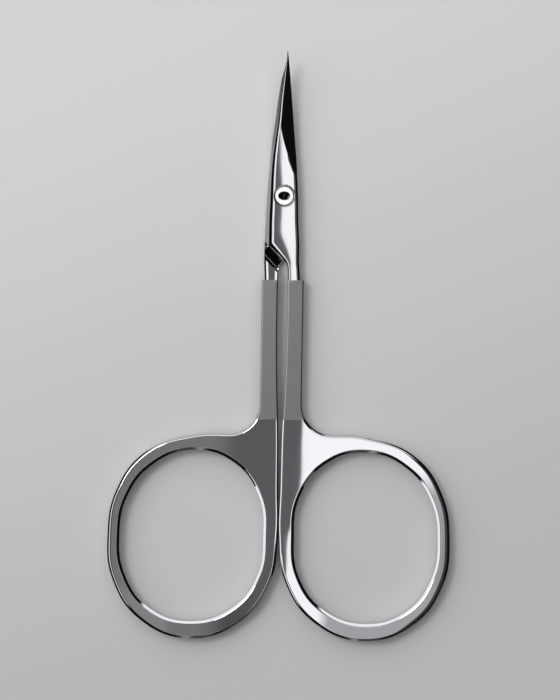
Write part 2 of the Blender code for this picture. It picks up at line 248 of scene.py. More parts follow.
class ScissorBladeSizes(bpy.types.PropertyGroup):
    reach: length("Blade reach", "From the pivot to the tips", upper_tip)
    proud_face: length("Band step", "How far the band stands proud of the lap's face", 0.1 * mm)
    proud_outside: length("Outer step", "How far the band stands proud outside", 0.47 * mm)
    proud_inside: length("Inner step", "How far the band stands proud inside", 0.01 * mm)
    overlap: length("Overlap", "How far the lap's root sits inside the band", 1.0 * mm)
    lap_width: length("Lap width", "Width of the lap that the shares refer to", 4.3 * mm)
    lap_gap: length("Lap gap", "Gap between the mating faces", 0.2 * mm)
    heel_reach: length("Heel reach", "From the pivot back to the heel's corner", 7.68 * mm)
    heel_depth: length("Heel depth", "Length of the heel's slanted face along the tool", 2.3 * mm)
    heel_fillet: length("Heel fillet", "Curve between the heel and the shank", 1.3 * mm)
    shoulder_clearance: length("Shoulder clearance", "From the heel to the ramp", 0.05 * mm)
    shoulder_radius: length("Shoulder radius", "Radius of the curved ramp", 2.25 * mm)
    under_chamfer: length("Under chamfer", "Chamfer of the lap's back edges", 0.35 * mm)
    edge_bevel: length("Edge bevel", "Width of the bevel along the cutting side", 0.55 * mm)
    edge_land: length("Edge land", "Height of the wall under the bevel", 0.25 * mm)
    tip_thickness: length("Tip thickness", "Thickness of a blade at its tip", 0.35 * mm)
    ground_start: length("Ground start", "From the pivot to the start of the ground face", 3.6 * mm)
    ground_full: length("Ground full", "Where the ground face is full width", 11.3 * mm)
    bend_start: length("Bend start", "From the pivot to the start of the bend", 4.5 * mm)
    tip_rise: length("Tip rise", "How far the bend lifts the tips", 3.6 * mm)
    corner_round: length("Corner round", "Rounding of the polished corners", 0.05 * mm)


class ScissorPivotSizes(bpy.types.PropertyGroup):
    head_radius: length("Head radius", "Radius of nut and screw heads", 1.58 * mm)
    head_thickness: length("Head thickness", "Thickness of the heads", 0.62 * mm)
    dimple_width: length("Dimple width", "Width of the dimple in the front head", 1.9 * mm)
    dimple_length: length("Dimple length", "Length of the dimple along the tool", 1.4 * mm)
    dimple_depth: length("Dimple depth", "Depth of the dimple", 0.12 * mm)
    barrel_radius: length("Barrel radius", "Radius of the nut's barrel", 1.1 * mm)
    bore_radius: length("Bore radius", "Radius of the barrel's bore", 0.65 * mm)
    clearance: length("Clearance", "Gap round heads and barrel", 0.07 * mm)
    seat: length("Seat clearance", "Gap under a head", 0.06 * mm)
    slot_width: length("Slot width", "Width of the screwdriver slot", 0.55 * mm)
    slot_depth: length("Slot depth", "Depth of the screwdriver slot", 0.3 * mm)
    rim: length("Rim", "Chamfer round a head", 0.19 * mm)


class ScissorFinishes(bpy.types.PropertyGroup):
    polished: colour("Polished steel", "Colour of the polished steel", (0.66, 0.66, 0.67))
    satin: colour("Satin steel", "Colour of the blasted bands", (0.25, 0.25, 0.244))
    pivot: colour("Pivot steel", "Colour of the nut and the screw", (0.72, 0.72, 0.72))
    ground: colour("Ground steel", "Colour of the ground mating faces", (0.40, 0.40, 0.40))
    gloss: factor("Gloss", "Roughness of the polished steel", 0.012)
    satin_grain: factor("Satin", "Roughness of the blasted bands", 0.42)


class ScissorStage(bpy.types.PropertyGroup):
    floor: colour("Floor", "Colour of the table", (0.54, 0.54, 0.54))
    camera_height: length("Camera height", "Camera above the table", 450 * mm)
    camera_roll: bpy.props.FloatProperty(name="Camera roll", description="Turn of the camera",
                                         default=radians(0.95), unit="ROTATION", subtype="ANGLE")
    view_length: length("View length", "Length of table in the picture's height", 109.7 * mm)
    view_across: length("View across", "The picture's middle across the tool", -0.264 * mm)
    view_along: length("View along", "The picture's middle along the tool", -0.573 * mm)


property_groups = {
    "scissor_handle": ScissorHandleSizes,
    "scissor_blade": ScissorBladeSizes,
    "scissor_pivot": ScissorPivotSizes,
    "scissor_finishes": ScissorFinishes,
    "scissor_stage": ScissorStage,
}


# Modelling helpers
def deselect_all():
    if bpy.context.object and bpy.context.object.mode != "OBJECT":
        bpy.ops.object.mode_set(mode="OBJECT")
    bpy.ops.object.select_all(action="DESELECT")


def activate(item):
    deselect_all()
    item.select_set(True)
    bpy.context.view_layer.objects.active = item


def add_primitive(add, **settings):
    """Adds a primitive with nothing else selected."""
    deselect_all()
    add(**settings)
    return bpy.context.object


def edit_all(item):
    """Enters edit mode with all of an item selected."""
    activate(item)
    bpy.ops.object.mode_set(mode="EDIT")
    bpy.ops.mesh.select_all(action="SELECT")


def leave_edit():
    bpy.ops.object.mode_set(mode="OBJECT")


def select_where(item, kind, test):
    """Selects the faces or the edges that pass a test, in edit mode, and nothing else."""
    shape = bmesh.from_edit_mesh(item.data)
    for part in (*shape.verts, *shape.edges, *shape.faces):
        part.select = False
    for part in getattr(shape, kind):
        if test(part):
            part.select_set(True)
    bmesh.update_edit_mesh(item.data)


def move_vertices(item, place):
    """Moves each of a mesh's vertices to where a function says."""
    for vertex in item.data.vertices:
        vertex.co = place(vertex.co)
    item.data.update()


def shift(item, *distance):
    """Moves a mesh inside its object."""
    item.data.transform(Matrix.Translation(distance))


def apply_modifier(item, kind, **settings):
    activate(item)
    modifier = item.modifiers.new(kind.title(), kind)
    for name, value in settings.items():
        setattr(modifier, name, value)
    bpy.ops.object.modifier_apply(modifier=modifier.name)


def combine(item, other, operation):
    """Cuts another object from an item, or joins it on, and removes the other object."""
    apply_modifier(item, "BOOLEAN", object=other, operation=operation, solver="EXACT")
    bpy.data.objects.remove(other)


def merge_doubles(item, distance=near):
    edit_all(item)
    bpy.ops.mesh.remove_doubles(threshold=distance)
    bpy.ops.mesh.dissolve_degenerate(threshold=distance)
    leave_edit()


def face_outwards(item):
    edit_all(item)
    bpy.ops.mesh.normals_make_consistent(inside=False)
    leave_edit()


def bounds_ground_face(edge):
    """Whether an edge turns clearly, or turns at all between a wide face and a narrow one."""
    clear_turn = radians(4)
    least_turn = radians(0.03)
    wide_ratio = 6
    narrow, wide = sorted(face.calc_area() for face in edge.link_faces)
    turn = edge.calc_face_angle()
    return turn > clear_turn or (turn > least_turn and wide > wide_ratio * narrow)


def smooth_shading(item, angle, ground_from=None):
    """Smooth shading with sharp edges by angle, and round each ground face in front of a place."""
    activate(item)
    bpy.ops.object.shade_smooth_by_angle(angle=radians(angle))
    if ground_from is not None:
        bpy.ops.object.mode_set(mode="EDIT")
        select_where(item, "edges", lambda edge: (
            max(vertex.co.y for vertex in edge.verts) > ground_from
            and edge.is_manifold and bounds_ground_face(edge)))
        bpy.ops.mesh.mark_sharp()
        leave_edit()
    apply_modifier(item, "WEIGHTED_NORMAL", keep_sharp=True, weight=100)


# Handle: finger ring, web and shank
def ring_centre(sizes):
    return Vector((sizes.ring_gap / 2 + sizes.limb_width * ring_inner_share + sizes.hole_width / 2,
                   sizes.limb_width + sizes.hole_length / 2 + box_low.y - pivot_place.y))


def ring_points(sizes, angle, across_share, along_share, limb_share):
    """A point of the finger hole's edge, and the ring's outside straight behind it."""
    edge = ring_centre(sizes) + Vector((across_share * sizes.hole_width / 2,
                                        along_share * sizes.hole_length / 2))
    away = Vector((cos(radians(angle)), sin(radians(angle))))
    return edge, edge + away * sizes.limb_width * limb_share


def handle_outlines(sizes):
    """Outlines of the handle and of its hole, as (x, y, heading) points."""
    hole = [(*ring_points(sizes, *row)[0], None) for row in finger_ring_shares]
    half_gap = sizes.shank_gap / 2
    spread = (sizes.shank_gap - sizes.ring_gap) / 2
    shank_run = ring_centre(sizes).y + sizes.band_start
    front_end = spare_front - sizes.band_start
    outline = [(half_gap, front_end, "corner"), (half_gap, -sizes.band_start, "corner")]
    outline += [(sizes.ring_gap / 2 + spread * gap_share,
                 shank_run * along_share - sizes.band_start, None)
                for along_share, gap_share in shank_inner_shares]
    outline += [(*ring_points(sizes, *row)[1], None)
                for row in finger_ring_shares[6:] + finger_ring_shares[:4]]
    radius = sizes.crotch_radius
    crotch = Vector((sizes.shank_outer + radius,
                     outline[-1][1] + sizes.crotch_rise + radius))
    diagonal = radius * sin(pi / 4)
    outline += [
        (crotch.x, crotch.y - radius, 180),
        (crotch.x - diagonal, crotch.y - diagonal, 135),
        (crotch.x - radius, crotch.y, 90),
        (sizes.shank_outer, -sizes.band_start, "corner"),
        (sizes.shank_outer, front_end, "corner"),
    ]
    return outline, hole


def add_spline(curve, outline):
    spline = curve.splines.new("BEZIER")
    spline.bezier_points.add(len(outline) - 1)
    spline.use_cyclic_u = True
    for index, (x, y, heading) in enumerate(outline):
        point = spline.bezier_points[index]
        point.co = (x, y, 0)
        if heading == "corner":
            point.handle_left_type = point.handle_right_type = "VECTOR"
        elif heading is None:
            point.handle_left_type = point.handle_right_type = "AUTO"
        else:
            aim_handles(point, outline[index - 1], outline[(index + 1) % len(outline)], heading)


def aim_handles(point, before, after, heading):
    """Points both handles along a heading, each a share of the way to its neighbour."""
    reach_share = 0.36
    along = Vector((cos(radians(heading)), sin(radians(heading)), 0))
    point.handle_left_type = point.handle_right_type = "FREE"
    reach_before = hypot(point.co.x - before[0], point.co.y - before[1])
    reach_after = hypot(point.co.x - after[0], point.co.y - after[1])
    point.handle_left = point.co - along * reach_before * reach_share
    point.handle_right = point.co + along * reach_after * reach_share


def add_flat_sheet(name, outlines, steps):
    """A filled flat mesh inside smooth closed outlines, facing up."""
    item = add_primitive(bpy.ops.curve.primitive_bezier_circle_add)
    item.name = name
    curve = item.data
    curve.dimensions = "2D"
    curve.fill_mode = "BOTH"
    curve.resolution_u = steps
    curve.splines.clear()
    for outline in outlines:
        add_spline(curve, outline)
    bpy.ops.object.convert(target="MESH")
    merge_doubles(item)
    faces_down = item.data.polygons[0].normal.z < 0
    edit_all(item)
    bpy.ops.mesh.dissolve_limited(angle_limit=radians(0.1))
    if faces_down:
        bpy.ops.mesh.flip_normals()
    leave_edit()
    return item


def outline_points(sheet):
    """Points along all of a flat sheet's outlines."""
    uses = {}
    for polygon in sheet.data.polygons:
        for key in polygon.edge_keys:
            uses[key] = uses.get(key, 0) + 1
    on_outline = {index for key, count in uses.items() if count == 1 for index in key}
    return [Vector((sheet.data.vertices[index].co.x, sheet.data.vertices[index].co.y, 0))
            for index in sorted(on_outline)]


def share_between(value, start, end):
    """0 at start and 1 at end, smooth between them. Start may be above end."""
    share = max(0, min(1, (value - start) / (end - start)))
    return share * share * (3 - 2 * share)


def edge_kinds(sizes, point):
    """What kind of edge the handle has at a point of its outline, as shares that add up to 1."""
    hole_limit = 1.1
    outer_start, outer_full = 0.3, 0.8
    centre = ring_centre(sizes)
    across = (point.x - centre.x) / (sizes.hole_width / 2)
    along = (point.y - centre.y) / (sizes.hole_length / 2)
    if across ** 2 + along ** 2 < hole_limit:
        return {"hole": 1}
    turn = sizes.limb_width
    inside = 0
    if point.x < sizes.shank_gap:
        inside = share_between(point.y, centre.y - 2 * turn, centre.y - turn / 2)
    band = share_between(point.y, -sizes.band_end - turn / 4, -sizes.band_end + turn / 4)
    outer = share_between(across, outer_start, outer_full) * (1 - band)
    end = 1 - band - outer
    return {"band": band, "outer": outer, "inside": inside * end, "end": (1 - inside) * end}


def edge_drop(kind, inward):
    """How far below the flat an edge of one kind is, at a distance in from the outline."""
    slope, straight, chamfer, soft_slope, soft_width = handle_edges[kind]
    reach = max(straight, min(inward, chamfer))
    drop = slope * max(0, straight - inward)
    drop += slope * (chamfer - reach) ** 2 / (2 * (chamfer - straight))
    return drop + soft_slope * max(0, soft_width - inward) ** 2 / (2 * soft_width)


def build_handle(name, sizes):
    """Ring, web and shank: a sheet raised to its wall, inset along its edges and mirrored."""
    handle = add_flat_sheet(name, handle_outlines(sizes), steps=20)
    outline = outline_points(handle)
    top = sizes.thickness / 2
    edit_all(handle)
    bpy.ops.mesh.extrude_region_move(TRANSFORM_OT_translate={"value": (0, 0, top)})
    before = 0
    for line in handle_edge_lines:
        bpy.ops.mesh.inset(thickness=line - before)
        before = line
    select_where(handle, "faces", lambda face: max(v.co.z for v in face.verts) < top / 2)
    bpy.ops.mesh.delete(type="FACE")
    leave_edit()
    shape_edges(handle, outline, sizes)
    apply_modifier(handle, "MIRROR", use_axis=(False, False, True), use_mirror_merge=True,
                   merge_threshold=near)
    shift(handle, 0, 0, top)
    cut_front_end(handle, sizes)
    mark_satin_band(handle, sizes)
    return handle


def shape_edges(handle, outline, sizes):
    """Lowers the lines of points along the edges to the chamfer and the soft fall inside it."""
    tree = kdtree.KDTree(len(outline))
    for index, point in enumerate(outline):
        tree.insert(point, index)
    tree.balance()
    kinds = [edge_kinds(sizes, point) for point in outline]

    def lowered(point):
        if point.z < sizes.thickness / 4:
            return point
        index, inward = tree.find(Vector((point.x, point.y, 0)))[1:]
        drop = sum(share * edge_drop(kind, inward) for kind, share in kinds[index].items())
        return Vector((point.x, point.y, point.z - drop))

    move_vertices(handle, lowered)


def cut_front_end(handle, sizes):
    """Cuts the shank square where the band starts, and breaks the edges of the cut."""
    edit_all(handle)
    bpy.ops.mesh.bisect(plane_co=(0, -sizes.band_start, 0), plane_no=(0, 1, 0), use_fill=True,
                        clear_outer=True)
    select_where(handle, "edges", lambda edge: all(abs(vertex.co.y + sizes.band_start) < near
                                                   for vertex in edge.verts))
    bpy.ops.mesh.bevel(offset=0.06 * mm, segments=2)
    leave_edit()


def mark_satin_band(handle, sizes):
    """Cuts the handle where the blasted band ends, and gives the band its own material."""
    edit_all(handle)
    bpy.ops.mesh.bisect(plane_co=(0, -sizes.band_end, 0), plane_no=(0, 1, 0))
    leave_edit()
    for face in handle.data.polygons:
        face.material_index = 1 if face.center.y > -sizes.band_end else 0


# Lap and blade
def smooth_rows(rows, step):
    """Rows of numbers read at an even step of the first one, on a smooth curve through all."""
    count = round((rows[-1][0] - rows[0][0]) / step)
    read = []
    for number in range(count + 1):
        place = rows[0][0] + (rows[-1][0] - rows[0][0]) * number / count
        index = max(1, min(len(rows) - 1, sum(row[0] < place for row in rows)))
        before, start, end, after = (Vector(rows[max(0, min(len(rows) - 1, index + further))])
                                     for further in (-2, -1, 0, 1))
        share = (place - start[0]) / (end[0] - start[0])
        rise_start = (end - before) / (end[0] - before[0])
        rise_end = (after - start) / (after[0] - start[0])
        span = end[0] - start[0]
        point = (start * (1 + 2 * share) * (1 - share) ** 2 + end * share ** 2 * (3 - 2 * share)
                 + rise_start * span * share * (1 - share) ** 2
                 - rise_end * span * share ** 2 * (1 - share))
        read.append((place, *point[1:]))
    return read


def front_stations(handle_sizes, sizes, blade_shares, heel_shares):
    """The plan of lap and blade as (left point, right point) pairs from the band to the tip."""
    fillet_steps = 24
    heel_steps = 6
    blade_step = 0.25 * mm
    outer_step = 0.1 * mm
    waist_share = 0.995
    heel_x, outer_x = (share * sizes.lap_width for share in heel_shares)
    inner_x = handle_sizes.shank_gap / 2 + sizes.proud_inside
    neck_outer = handle_sizes.shank_outer - sizes.proud_outside
    root = sizes.heel_reach + sizes.heel_depth
    root_x = inner_x - sizes.heel_fillet / 2
    start = -handle_sizes.band_start - sizes.overlap
    meeting = -root - sizes.heel_fillet / 2 * sizes.heel_depth / (root_x - heel_x)
    left = [Vector((inner_x, start)), Vector((inner_x, -handle_sizes.band_start))]
    for number in range(fillet_steps + 1):
        share = number / fillet_steps
        left.append(Vector((inner_x, meeting - sizes.heel_fillet)) * (1 - share) ** 2
                    + Vector((inner_x, meeting)) * 2 * share * (1 - share)
                    + Vector((root_x, -root)) * share ** 2)
    heel = Vector((heel_x, -sizes.heel_reach))
    left.append(heel)
    blade = smooth_rows([(along * sizes.reach, spine * sizes.lap_width, edge * sizes.lap_width)
                         for along, spine, edge in blade_shares], blade_step)
    first_y, first_spine, first_edge = blade[0]
    outer = smooth_rows([
        (start, neck_outer),
        (-root - sizes.heel_fillet, outer_x + (neck_outer - outer_x) / 4),
        (-root, outer_x),
        (-sizes.heel_reach, outer_x * waist_share),
        (first_y, first_edge),
    ], outer_step)
    left += [heel.lerp(Vector((first_spine, first_y)), number / heel_steps)
             for number in range(1, heel_steps)]
    stations = [(point, Vector((min(outer, key=lambda row: abs(row[0] - point.y))[1], point.y)))
                for point in left]
    return stations + [(Vector((spine, y)), Vector((edge, y))) for y, spine, edge in blade]


def ground_heights(sizes, levels, y):
    """Heights of the spine's and of the cutting edge's side of the ground face."""
    edge_drop_share = 0.38
    if y < sizes.ground_start:
        return levels["top"], levels["top"]
    edge_low = levels["top"] - edge_drop_share * (levels["top"] - levels["lap"])
    if y < sizes.ground_full:
        share = (y - sizes.ground_start) / (sizes.ground_full - sizes.ground_start)
        return levels["top"], levels["top"] + (edge_low - levels["top"]) * share
    share = (y - sizes.ground_full) / (sizes.reach - sizes.ground_full)
    tip_top = levels["lap"] + sizes.tip_thickness
    return (levels["top"] + (tip_top - levels["top"]) * share,
            edge_low + (tip_top - edge_low) * share)


def ground_boundary_share(sizes, y):
    """Share of the way across the flat at which the ground face starts."""
    all_flat = 0.985
    curve = 1.25
    run = (y - sizes.ground_start) / (sizes.ground_full - sizes.ground_start)
    return all_flat * (1 - max(0, min(1, run)) ** curve)


def rounded_corners(corners):
    """Points of a closed section, each corner given as (plan, height, (reach of round, steps))."""
    longest_share = 0.3
    points = [Vector((plan.x, plan.y, height)) for plan, height, rounding in corners]
    rounded = []
    for index, corner in enumerate(points):
        reach, steps = corners[index][2]
        before = points[index - 1] - corner
        after = points[(index + 1) % len(points)] - corner
        first = corner + before.normalized() * min(reach, before.length * longest_share)
        last = corner + after.normalized() * min(reach, after.length * longest_share)
        for number in range(steps + 1):
            share = number / steps
            rounded.append(first * (1 - share) ** 2 + corner * 2 * share * (1 - share)
                           + last * share ** 2)
    return rounded


def front_section(sizes, levels, left, right, inward):
    """Section of lap and blade, from the spine side's underside over the top."""
    slope_share, slope_fall, slope_limit = 0.108, 0.9, 0.4
    chamfer_share, chamfer_fall, chamfer_limit = 0.060, 0.36, 0.15
    widest_share = 0.28
    inner_fall, ground_inner_fall = 0.055, 0.25
    ground_fall_full, wide_until, wide_gone = (sizes.ground_start * share
                                               for share in (1.4, 1.3, 1.9))
    width = (right - left).length
    spine_top, edge_top = ground_heights(sizes, levels, left.y)
    height = spine_top - levels["lap"]
    slope = width * slope_share
    chamfer = width * chamfer_share
    shoulder = spine_top - min(chamfer * chamfer_fall, height * chamfer_limit)
    wall_top = shoulder - min(slope * slope_fall, height * slope_limit)
    bevel = min(sizes.edge_bevel, width * widest_share)
    under = min(sizes.under_chamfer, width * widest_share)
    edge_height = edge_top - levels["lap"]
    land = levels["lap"] + max(edge_height - bevel / 2, min(sizes.edge_land, edge_height / 2))
    flat_left = left + inward * (slope + chamfer)
    flat_right = right + Vector((-bevel, 0))
    boundary = flat_left.lerp(flat_right, ground_boundary_share(sizes, left.y))
    inner_fall += (ground_inner_fall - inner_fall) * share_between(left.y, sizes.ground_start,
                                                                   ground_fall_full)
    fade = share_between(left.y, wide_gone, wide_until)
    sharp = (sizes.corner_round / 5, 2)
    soft = (sizes.corner_round, 2)
    wide = (sizes.corner_round + sizes.edge_bevel * fade, 6)
    return rounded_corners([
        *((left + inward * under * along, levels["bottom"] + under * up, rounding)
          for (along, up), rounding in zip(spine_under_shares, (soft, sharp, sharp))),
        (left, wall_top, sharp),
        (left + inward * slope, shoulder, soft),
        (flat_left, spine_top, soft),
        (boundary, spine_top, wide),
        (flat_right, edge_top, soft),
        (flat_right.lerp(right, 0.5), edge_top - bevel * inner_fall, soft),
        (right, land, sharp),
        *((right + Vector((-under * along, 0)), levels["bottom"] + under * up, rounding)
          for (along, up), rounding in zip(cutting_under_shares, (sharp, soft, soft))),
    ])


def inward_at(sizes, lefts, index):
    """Direction into the section from its left point, mitred where the lap's outline turns."""
    left = lefts[index]
    if left.y > -sizes.heel_reach + sizes.edge_bevel:
        return Vector((1, 0))
    least_mitre = 0.5
    ahead = (lefts[index + 1] - left).normalized()
    behind = (left - lefts[index - 1]).normalized() if index else ahead
    along = (ahead + behind).normalized()
    return Vector((along.y, -along.x)) * (1 / max(least_mitre, along.dot(ahead)))


def build_front(name, sizes, levels, stations):
    """Lap and blade: one section drawn out from the band to the tip, station by station."""
    lefts = [left for left, right in stations]
    sections = [front_section(sizes, levels, left, right, inward_at(sizes, lefts, index))
                for index, (left, right) in enumerate(stations)]
    front = add_primitive(bpy.ops.mesh.primitive_circle_add, vertices=len(sections[0]),
                          radius=sizes.lap_width, fill_type="NGON")
    front.name = name
    for vertex, place in zip(front.data.vertices, sections[0]):
        vertex.co = place
    edit_all(front)
    for section in sections[1:]:
        bpy.ops.mesh.extrude_region_move()
        shape = bmesh.from_edit_mesh(front.data)
        shape.verts.ensure_lookup_table()
        placed = sorted((vertex for vertex in shape.verts if vertex.select), key=lambda v: v.index)
        for vertex, place in zip(placed, section):
            vertex.co = place
        bmesh.update_edit_mesh(front.data)
    leave_edit()
    merge_doubles(front)
    face_outwards(front)
    return front


def cut_lap(front, handle_sizes, sizes, levels):
    """Takes the underside off the lap and blade, up to the curved ramp of the shoulder."""
    facing_down = -0.99
    heel_x = -lower_heel_shares[0] * sizes.lap_width
    root_x = sizes.heel_fillet / 2 - handle_sizes.shank_gap / 2 - sizes.proud_inside
    heel_line = Vector((root_x - heel_x, -sizes.heel_depth)).normalized()
    backward = Vector((-heel_line.y, heel_line.x))
    reach = overall_length / 2
    radius = sizes.shoulder_radius
    ramp_centre = Vector((heel_x, -sizes.heel_reach)) + backward * sizes.shoulder_clearance
    ramp = add_primitive(bpy.ops.mesh.primitive_cylinder_add, vertices=192, radius=radius,
                         depth=2 * reach)
    ramp.data.transform(heel_line.to_3d().to_track_quat("Z", "Y").to_matrix().to_4x4())
    shift(ramp, ramp_centre.x, ramp_centre.y, levels["lap"] - radius)
    combine(front, ramp, "DIFFERENCE")
    block = add_primitive(bpy.ops.mesh.primitive_cube_add, size=1)
    block.data.transform(Matrix.Diagonal((2 * reach, reach, radius, 1)))
    shift(block, 0, reach / 2, -radius / 2)
    block.data.transform(Matrix.Rotation(-Vector((1, 0)).angle_signed(-heel_line), 4, "Z"))
    shift(block, ramp_centre.x, ramp_centre.y, levels["lap"])
    combine(front, block, "DIFFERENCE")
    for face in front.data.polygons:
        mating = face.normal.z < facing_down and abs(face.center.z - levels["lap"]) < near
        face.material_index = 2 if mating else 0


def cut_pivot_hole(front, pivot, levels):
    """Bore for the barrel and the counterbore for a flush head, with a broken edge."""
    over = 1.0 * mm
    broken = 0.11 * mm
    broken_slope = 1.1
    head = pivot.head_radius + pivot.clearance
    bore = pivot.barrel_radius + pivot.clearance
    seat = levels["top"] - pivot.head_thickness - pivot.seat
    above = levels["top"] + over
    for low_radius, high_radius, low, high in (
            (head, head, seat, above),
            (head, head + broken_slope * (broken + over), levels["top"] - broken, above),
            (bore, bore, levels["bottom"] - over, levels["top"])):
        cutter = add_primitive(bpy.ops.mesh.primitive_cone_add, vertices=128, depth=high - low,
                               radius1=low_radius, radius2=high_radius)
        shift(cutter, 0, 0, (low + high) / 2)
        combine(front, cutter, "DIFFERENCE")


def bend_blade(front, sizes, places, mating_level):
    """Lifts the blade after a cut at each place along it. The mating face rises by its distance
    from the pivot, so that it fits the other blade's at any opening. The rest rises straight."""
    activate(front)
    bpy.ops.object.mode_set(mode="EDIT")
    for place in places:
        bpy.ops.mesh.select_all(action="SELECT")
        bpy.ops.mesh.bisect(plane_co=(0, place, 0), plane_no=(0, 1, 0), threshold=0.0002 * mm)
    leave_edit()
    run_out = sizes.reach - sizes.bend_start
    bend_radius = (run_out ** 2 + sizes.tip_rise ** 2) / (2 * sizes.tip_rise)

    def lifted(point):
        if point.y < 0:
            return point
        mating = abs(point.z - mating_level) < near
        away = hypot(point.x, point.y) if mating else point.y
        run = max(0, away - sizes.bend_start)
        rise = bend_radius - sqrt(bend_radius ** 2 - run ** 2)
        return Vector((point.x, point.y, point.z + rise))

    move_vertices(front, lifted)


def front_levels(settings):
    """Heights of lap and blade: their back, their front and the upper half's mating face."""
    handle_sizes = settings.scissor_handle
    sizes = settings.scissor_blade
    return {
        "bottom": sizes.proud_face,
        "top": handle_sizes.thickness - sizes.proud_face,
        "lap": middle_plane + sizes.lap_gap / 2,
    }


def build_half(name, settings, blade_shares, heel_shares, turned):
    handle_sizes = settings.scissor_handle
    sizes = settings.scissor_blade
    finishes = settings.scissor_finishes
    levels = front_levels(settings)
    stations = front_stations(handle_sizes, sizes, blade_shares, heel_shares)
    handle = build_handle(name, handle_sizes)
    front = build_front(name + "_front", sizes, levels, stations)
    cut_lap(front, handle_sizes, sizes, levels)
    cut_pivot_hole(front, settings.scissor_pivot, levels)
    for item in (handle, front):
        for steel, paint in (("mirror_polished_steel", paint_polished),
                             ("bead_blasted_steel", paint_satin),
                             ("fine_ground_steel", paint_ground)):
            item.data.materials.append(painted(steel, paint, finishes))
    mating_level = levels["lap"]
    if turned:
        mating_level = 2 * middle_plane - levels["lap"]
        over = Matrix.Translation((0, 0, 2 * middle_plane)) @ Matrix.Rotation(pi, 4, "Y")
        front.data.transform(over)
        handle.data.transform(over)
    bend_blade(front, sizes, [left.y for left, right in stations[:-1]
                              if left.y > sizes.bend_start - sizes.edge_bevel], mating_level)
    combine(handle, front, "UNION")
    merge_doubles(handle, near / 2)
    smooth_shading(handle, angle=30, ground_from=near - handle_sizes.band_start)
    shift(handle, *pivot_place)
    return handle


# Pivot
def add_turned(name, profile, segments=128):
    """A turned piece: its profile of (radius, height) pairs spun once round the pivot."""
    item = add_primitive(bpy.ops.mesh.primitive_circle_add, vertices=3, fill_type="NOTHING")
    item.name = name
    item.data.clear_geometry()
    item.data.from_pydata([(radius, 0, height) for radius, height in profile],
                          [(index, index + 1) for index in range(len(profile) - 1)], [])
    edit_all(item)
    bpy.ops.mesh.spin(steps=segments, angle=2 * pi, center=(0, 0, 0), axis=(0, 0, 1))
    leave_edit()
    merge_doubles(item)
    face_outwards(item)
    return item


def build_nut(settings):
    """Plain flush head with a turned rim, and the barrel that both laps turn on."""
    pivot = settings.scissor_pivot
    levels = front_levels(settings)
    top = levels["top"]
    seat = top - pivot.head_thickness
    end = levels["bottom"] + pivot.head_thickness + pivot.seat
    nut = add_turned("flush_nut", [
        (0, top),
        *((pivot.head_radius - pivot.rim * inward, top - pivot.rim * back)
          for inward, back in nut_rim_shares),
        (pivot.head_radius, seat),
        (pivot.barrel_radius, seat),
        (pivot.barrel_radius, end),
        (pivot.bore_radius, end),
        (pivot.bore_radius, seat + pivot.seat),
        (0, seat + pivot.seat),
    ])
    ball = add_primitive(bpy.ops.mesh.primitive_uv_sphere_add, segments=64, ring_count=48,
                         radius=1)
    ball.data.transform(Matrix.Diagonal((pivot.dimple_width / 2, pivot.dimple_length / 2,
                                         pivot.dimple_depth, 1)))
    shift(ball, 0, 0, top)
    combine(nut, ball, "DIFFERENCE")
    return nut


def build_screw(settings):
    """Slotted head at the back, with its thread inside the nut's barrel."""
    end_chamfer_share = 0.2
    pivot = settings.scissor_pivot
    levels = front_levels(settings)
    bottom = levels["bottom"]
    radius = pivot.head_radius
    head_top = bottom + pivot.head_thickness
    thread = pivot.bore_radius - pivot.clearance
    thread_end = levels["top"] - pivot.head_thickness - pivot.seat
    screw = add_turned("slotted_screw", [
        (0, thread_end),
        (thread * (1 - end_chamfer_share), thread_end),
        (thread, thread_end - thread * end_chamfer_share),
        (thread, head_top),
        (radius, head_top),
        *((radius - pivot.rim * inward, bottom + pivot.rim * back)
          for inward, back in screw_rim_shares),
        (0, bottom),
    ])
    slot = add_primitive(bpy.ops.mesh.primitive_cube_add, size=1)
    slot.data.transform(Matrix.Diagonal((4 * radius, pivot.slot_width, 2 * pivot.slot_depth, 1)))
    shift(slot, 0, 0, bottom)
    combine(screw, slot, "DIFFERENCE")
    apply_modifier(screw, "BEVEL", width=0.03 * mm, segments=2, limit_method="ANGLE",
                   angle_limit=radians(50))
    return screw


# Materials
def painted(name, paint, *details):
    """The material of a name, painted when it is first asked for."""
    material = bpy.data.materials.get(name)
    if material is None:
        material = bpy.data.materials.new(name)
        material.use_nodes = True
        tree = material.node_tree
        paint(tree, tree.nodes["Principled BSDF"].inputs, *details)
    return material


def set_inputs(tree, sockets, values):
    """Sets each socket to its value, or links it to another node's output."""
    for name, value in values.items():
        if isinstance(value, bpy.types.NodeSocket):
            tree.links.new(value, sockets[name])
        else:
            sockets[name].default_value = value


def add_node(tree, kind, inputs=(), **settings):
    """A shader node with its settings, and inputs that are values or other nodes' outputs."""
    node = tree.nodes.new(kind)
    for name, value in settings.items():
        setattr(node, name, value)
    set_inputs(tree, node.inputs, dict(inputs))
    return node


def calculate(tree, operation, *values):
    return add_node(tree, "ShaderNodeMath", enumerate(values), operation=operation).outputs[0]


def object_place(tree):
    return add_node(tree, "ShaderNodeTexCoord").outputs["Object"]


def split(tree, vector):
    """The parts of a vector across, along and up."""
    return add_node(tree, "ShaderNodeSeparateXYZ", {"Vector": vector}).outputs


def object_noise(tree, scale, detail, stretch=(1, 1, 1)):
    """Noise on the piece's own coordinates, stretched along its axes."""
    mapped = add_node(tree, "ShaderNodeMapping", {"Vector": object_place(tree), "Scale": stretch})
    return add_node(tree, "ShaderNodeTexNoise", {"Vector": mapped.outputs["Vector"],
                                                 "Scale": scale, "Detail": detail}).outputs["Fac"]


